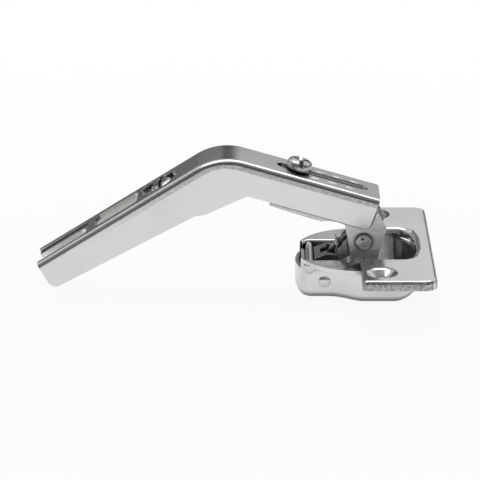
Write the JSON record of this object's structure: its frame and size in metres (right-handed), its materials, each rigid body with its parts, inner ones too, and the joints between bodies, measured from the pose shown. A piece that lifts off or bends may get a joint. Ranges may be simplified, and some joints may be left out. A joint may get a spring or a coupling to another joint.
{
  "type": "concealed cabinet hinge",
  "caption": "Concealed cup hinge with an angled slide-on arm, stamped from plated steel, standing part open.",
  "frame": {"origin": "centre of the 35 mm cup on the door's face, which the screw flange's rim rests on", "axes": "+X from the arm's free end towards the screw flange, +Y along the hinge pins, +Z out of the door"},
  "size_m": [0.1115, 0.062, 0.0407],
  "materials": {
    "plated_sheet": "satin nickel plate",
    "link_steel": "dull nickel plate",
    "pin_steel": "bright turned steel",
    "screw_steel": "bright nickel plate",
    "spring_steel": "bright wire"
  },
  "bodies": {
    "cup": {"hinge_cup": "plated_sheet", "cup_pin_outer": "pin_steel", "cup_pin_inner": "pin_steel"},
    "outer_link": {"outer_link": "link_steel"},
    "inner_link": {"inner_link": "link_steel", "closing_spring": "spring_steel"},
    "inner_arm": {"inner_arm": "plated_sheet", "arm_rivet": "pin_steel", "arm_pin": "pin_steel"},
    "outer_arm": {"outer_arm": "plated_sheet"},
    "depth_screw": {"depth_screw": "screw_steel"},
    "side_screw": {"side_screw": "screw_steel"}
  },
  "joints": [
    {"name": "outer_link_pivot", "type": "hinge", "parent": "cup", "child": "outer_link", "pos_m": [-0.0135, 0, -0.0011], "axis": [0, 1, 0], "range_deg": [-7.26, 21.25]},
    {"name": "arm_pivot", "type": "hinge", "parent": "outer_link", "child": "inner_arm", "pos_m": [0.0016, 0, 0.0054], "axis": [0, 1, 0], "range_deg": [-13.84, 40.86]},
    {"name": "inner_link_pivot", "type": "hinge", "parent": "cup", "child": "inner_link", "pos_m": [-0.0094, 0, -0.0055], "axis": [0, 1, 0], "range_deg": [-10.68, 31.35]},
    {"name": "depth_slide", "type": "slide", "parent": "inner_arm", "child": "outer_arm", "axis": [-0.9598, 0, 0.2807], "range_m": [0, 0.014]},
    {"name": "depth_screw_turn", "type": "hinge", "parent": "inner_arm", "child": "depth_screw", "pos_m": [-0.0168, 0, 0.0247], "axis": [0.2807, 0, 0.9598], "continuous": true},
    {"name": "side_screw_turn", "type": "hinge", "parent": "outer_arm", "child": "side_screw", "pos_m": [-0.0557, 0, 0.02079], "axis": [-0.5353, 0, 0.8446], "continuous": true}
  ],
  "couplings": [
    {"joint": "outer_link_pivot", "follows": "arm_pivot", "ratio": 0.5175},
    {"joint": "inner_link_pivot", "follows": "arm_pivot", "ratio": 0.7648}
  ]
}
